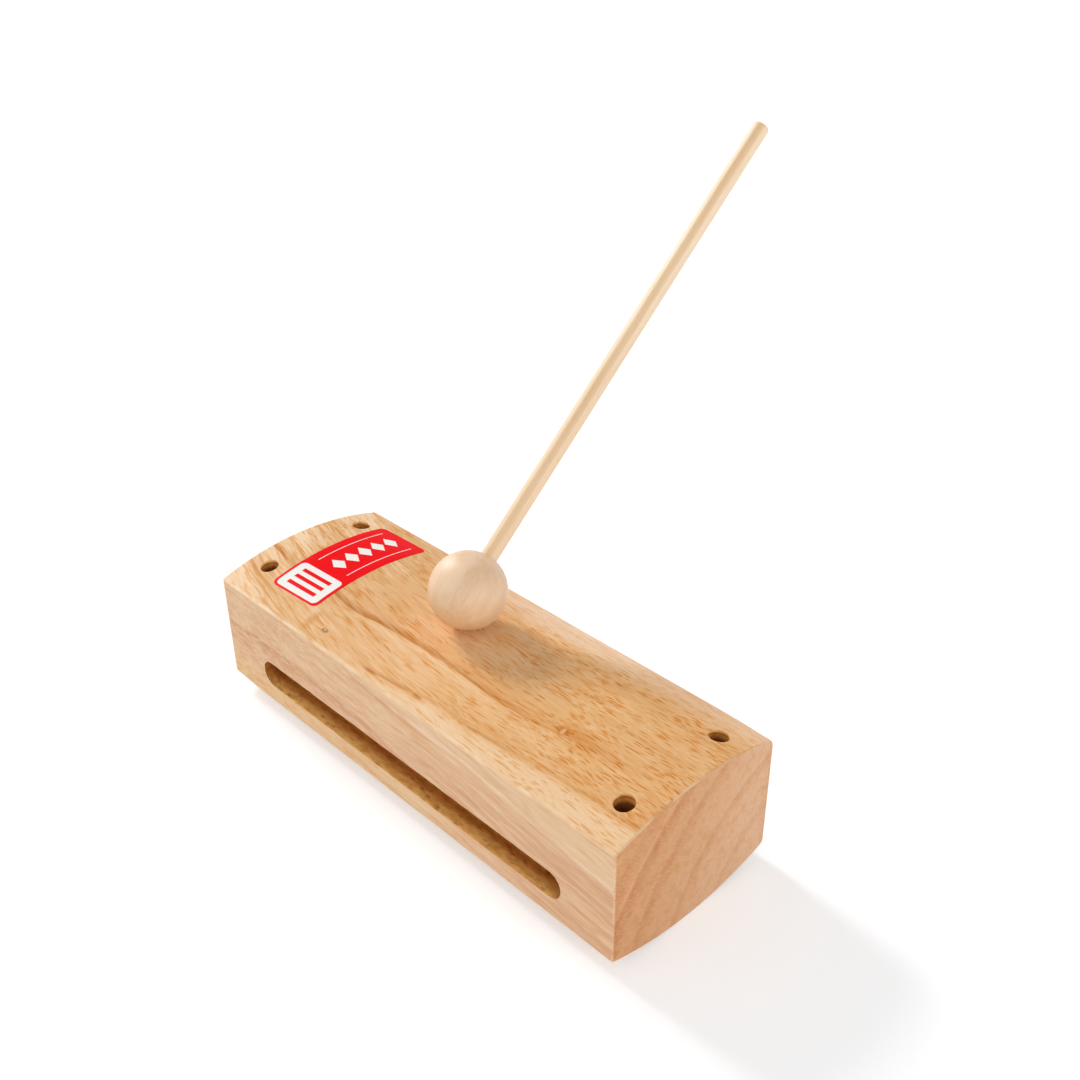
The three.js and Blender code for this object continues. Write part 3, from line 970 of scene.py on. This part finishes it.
def ball_profile():
    """Radius and height from the ball's foot over its outside, then down into the socket."""
    rim_turn = math.asin((SOCKET_RADIUS + SOCKET_RIM) / BALL_RADIUS)
    points = []
    for step in range(BALL_STEPS + 1):
        angle = -math.pi / 2 + (math.pi - rim_turn) * step / BALL_STEPS
        points.append((BALL_RADIUS * math.cos(angle), BALL_RADIUS * math.sin(angle)))
    rim_radius, rim_height = points[-1]
    for step in range(1, SOCKET_RIM_STEPS + 1):
        turn = step * math.pi / 2 / SOCKET_RIM_STEPS
        radius = rim_radius - SOCKET_RIM * math.sin(turn)
        points.append((radius, rim_height - SOCKET_RIM * (1 - math.cos(turn))))
    floor_height = BALL_RADIUS - SOCKET_DEPTH
    return points + [(SOCKET_RADIUS, floor_height), (0, floor_height)]


def pale_wood(name, light, dark, fibre_width, stripe_strength, shine, lacquer):
    """Pale close-grained wood with fibres along its grain, a share of a dark stripe, partly grain and
    partly painted shade, and a share of lacquer.
    """
    constants = {"Specular IOR Level": shine, "Coat Weight": lacquer, "Coat Roughness": LACQUER_ROUGHNESS}
    wood = Finish(bpy.data.materials.new(name), "Principled BSDF", constants)
    grain = wood.mark("grain", "Vector")
    end_grain = wood.mark("end_grain")
    fibre = wood.clouds(grain, (16, fibre_width, fibre_width), 3, 0.6)
    fleck = wood.seeds(grain, (3.4, 0.42, 0.42)).fall(0.1, 0.26)
    colour = wood.lay(wood.clouds(grain, (60, 6, 6)).rise(0.35, 0.65), light, dark)
    sideways = wood.vector("NORMALIZE", wood.vector("MULTIPLY", grain, (0, 1, 1)))
    facing = wood.vector("DOT_PRODUCT", sideways, STRIPE_WAY, output="Value")
    waver = 0.06 * (wood.clouds(grain, (22, 3, 3)) - 0.5)
    # The dark stripe: partly grain, partly painted shade down the middle of the dowel as the camera sees
    # it.
    colour = wood.stain(stripe_strength * (facing + waver).rise(0.86, 0.96), colour, paint(243, 232, 215))
    colour = wood.stain(0.35 * fibre.rise(0.42, 0.72), colour, paint(242, 226, 204))
    colour = wood.stain(0.15 * fleck, colour, paint(214, 186, 150))
    colour = wood.stain(0.6 * end_grain, colour, paint(226, 200, 142))
    wood.feed("Base Color", colour)
    wood.feed("Roughness", 0.47 + 0.12 * fibre + 0.1 * end_grain)
    wood.feed("Normal", wood.relief(0.012 * fibre - 0.012 * fleck))
    return wood.owner


def ball_marks(radius, height):
    """End grain in the socket, and more and more of it towards the ball's foot."""
    in_socket = radius <= SOCKET_RADIUS + 0.01 and height > 0
    towards_foot = max(0, -height / BALL_RADIUS - BALL_FOOT_START) / (1 - BALL_FOOT_START)
    return {"end_grain": 1.0 if in_socket else towards_foot ** 1.5}


ball = turned_skin(ball_profile(), BALL_TURN_STEPS, ball_marks).piece("beater_ball_wood", BALL_MIDDLE)
ball_wood = pale_wood("ball_wood", light=paint(236, 203, 168), dark=paint(229, 192, 154),
                      fibre_width=1.1, stripe_strength=0, shine=0.2, lacquer=1)
ball.data.materials.append(ball_wood)
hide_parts("beater_head")
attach(ball, "beater")


# BEATER DOWEL: a straight length of pale dowel rod, glued into the ball, its sawn end lightly eased.
# The rod is left as it comes from the mill. A darker stripe runs along the side turned to the camera:
# partly grain, partly painted shade down the dowel's middle.
DOWEL_RADIUS = 2.99
DOWEL_GLUE_GAP = 0.05
DOWEL_FOOT = BALL_RADIUS - SOCKET_DEPTH + DOWEL_GLUE_GAP
DOWEL_TIP = 190.6
DOWEL_EASING = 0.8
DOWEL_EASING_STEPS = 5
DOWEL_STEPS = 48
DOWEL_GAP = 6


def dowel_profile():
    """Radius and height from the dowel's foot in its socket to its tip."""
    points = [(0, DOWEL_FOOT), (DOWEL_RADIUS, DOWEL_FOOT)]
    shoulder = DOWEL_TIP - DOWEL_EASING
    points += [(DOWEL_RADIUS, height) for height in spread(DOWEL_FOOT, shoulder, DOWEL_GAP)]
    for step in range(DOWEL_EASING_STEPS + 1):
        turn = step * math.pi / 2 / DOWEL_EASING_STEPS
        radius = DOWEL_RADIUS - DOWEL_EASING * (1 - math.cos(turn))
        points.append((radius, DOWEL_TIP - DOWEL_EASING * (1 - math.sin(turn))))
    return points + [(DOWEL_RADIUS * share, DOWEL_TIP) for share in (0.5, 0.25, 0)]


def dowel_marks(radius, height):
    """End grain on the sawn tip."""
    return {"end_grain": 1.0 if height >= DOWEL_TIP - 0.01 else 0.0}


dowel = turned_skin(dowel_profile(), DOWEL_STEPS, dowel_marks).piece("beater_dowel_wood", BALL_MIDDLE)
dowel_wood = pale_wood("dowel_wood", light=paint(246, 221, 190), dark=paint(241, 212, 177),
                       fibre_width=0.5, stripe_strength=0.8, shine=0.5, lacquer=0)
dowel.data.materials.append(dowel_wood)
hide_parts("beater_handle")
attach(dowel, "beater")


# STAGE: a plain white floor under soft studio light, and the camera where the photographer stood.
# The key light comes from the left end, so that the ball's shadow falls along the top to the right.
FLOOR_REACH = 8
FLOOR_LIT = (0.9, 0.9, 0.9, 1)
FLOOR_SEEN = (0.72, 0.73, 0.74, 1)
FLOOR_GLOW = (0.44, 0.44, 0.44, 1)
WORLD_LIGHT = 0.42


def seen(finish):
    """1 for what the camera sees, straight or by gloss or glass, and 0 for light on the object."""
    rays = finish.node("LightPath")
    return (rays + rays.twin("Is Glossy Ray") + rays.twin("Is Transmission Ray")).at_most(1)


floor_paint = Finish(bpy.data.materials.new("white_floor"), "Principled BSDF",
                     {"Roughness": 0.9, "Specular IOR Level": 0, "Emission Strength": 1})
floor_seen = seen(floor_paint)
floor_paint.feed("Base Color", floor_paint.lay(floor_seen, FLOOR_LIT, FLOOR_SEEN))
floor_paint.feed("Emission Color", floor_paint.lay(floor_seen, (0, 0, 0, 1), FLOOR_GLOW))

floor_mesh = bpy.data.meshes.new("floor")
floor_ways = ((-1, -1), (1, -1), (1, 1), (-1, 1))
floor_mesh.from_pydata([(x * FLOOR_REACH, y * FLOOR_REACH, 0) for x, y in floor_ways], [], [(0, 1, 2, 3)])
floor_mesh.materials.append(floor_paint.owner)
floor = put("floor", floor_mesh)

studio = Finish(bpy.data.worlds.new("studio"), "Background", {"Color": (1, 1, 1, 1)})
studio.feed("Strength", WORLD_LIGHT + (1 - WORLD_LIGHT) * seen(studio))
bpy.context.scene.world = studio.owner


def soft_lamp(name, towards, strength, spread_angle):
    """A distant soft lamp that shines from the way given."""
    lamp = bpy.data.lights.new(name, "SUN")
    lamp.energy = strength
    lamp.angle = math.radians(spread_angle)
    put(name, lamp).rotation_euler = Vector(towards).to_track_quat("Z", "Y").to_euler()


soft_lamp("key_lamp", (-0.84, 0.03, 0.545), 1.95, 16)
soft_lamp("front_lamp", (-0.1, -0.88, 0.45), 0.74, 80)
soft_lamp("right_lamp", (0.95, -0.25, 0.2), 0.68, 35)
soft_lamp("back_right_lamp", (0.9, 0.38, 0.22), 0.5, 22)

CAMERA_AZIMUTH = math.radians(46.202)
CAMERA_ELEVATION = math.radians(30.914)
CAMERA_ROLL = math.radians(-0.417)
CAMERA_SHIFT_X = -22.699
CAMERA_SHIFT_Y = -56.34
CAMERA_DISTANCE = 453.635
CAMERA_LENS = 43.38
CAMERA_SENSOR = 36

back = Vector((math.sin(CAMERA_AZIMUTH) * math.cos(CAMERA_ELEVATION),
               -math.cos(CAMERA_AZIMUTH) * math.cos(CAMERA_ELEVATION), math.sin(CAMERA_ELEVATION)))
level_right = Vector((math.cos(CAMERA_AZIMUTH), math.sin(CAMERA_AZIMUTH), 0))
level_up = back.cross(level_right)
right = math.cos(CAMERA_ROLL) * level_right + math.sin(CAMERA_ROLL) * level_up
up = -math.sin(CAMERA_ROLL) * level_right + math.cos(CAMERA_ROLL) * level_up
camera_place = BLOCK_MIDDLE - CAMERA_SHIFT_X * right - CAMERA_SHIFT_Y * up + CAMERA_DISTANCE * back

lens = bpy.data.cameras.new("camera")
lens.lens = CAMERA_LENS
lens.sensor_width = CAMERA_SENSOR
camera = put("camera", lens)
stance = Matrix((right, up, back)).transposed().to_4x4()
stance.translation = camera_place * MM
camera.matrix_world = stance
bpy.context.scene.camera = camera
bpy.context.scene.view_settings.view_transform = "Standard"
